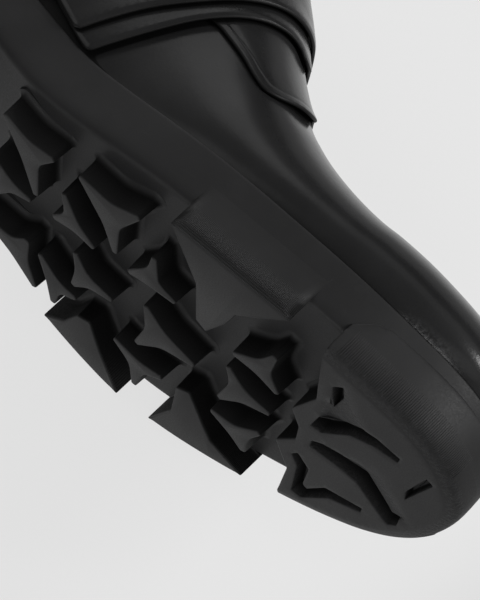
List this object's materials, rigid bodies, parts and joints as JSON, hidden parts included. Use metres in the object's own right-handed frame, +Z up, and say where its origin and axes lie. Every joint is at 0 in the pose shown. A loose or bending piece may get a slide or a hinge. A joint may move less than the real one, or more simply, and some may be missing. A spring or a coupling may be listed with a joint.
{
  "type": "derby shoe",
  "caption": "Leather derby shoe for the left foot with a lugged rubber sole and straps over the instep, lying on its outer side.",
  "frame": {"origin": "on the ground under the middle of the lying shoe's box", "axes": "+X from the heel to the toe, +Y from the tread towards the top line, +Z up, which is the shoe's inner side"},
  "size_m": [0.2798, 0.1298, 0.1145],
  "materials": {
    "sole_rubber": "matte moulded rubber",
    "insole_lining": "matte lining",
    "upper_leather": "smooth, softly polished",
    "tongue_leather": "smooth, softly polished",
    "strap_leather": "smooth, softly polished"
  },
  "bodies": {
    "root": {"outsole": "sole_rubber", "insole": "insole_lining", "upper": "upper_leather", "tongue": "tongue_leather", "strap_under": "strap_leather", "strap_top": "strap_leather"}
  },
  "joints": []
}
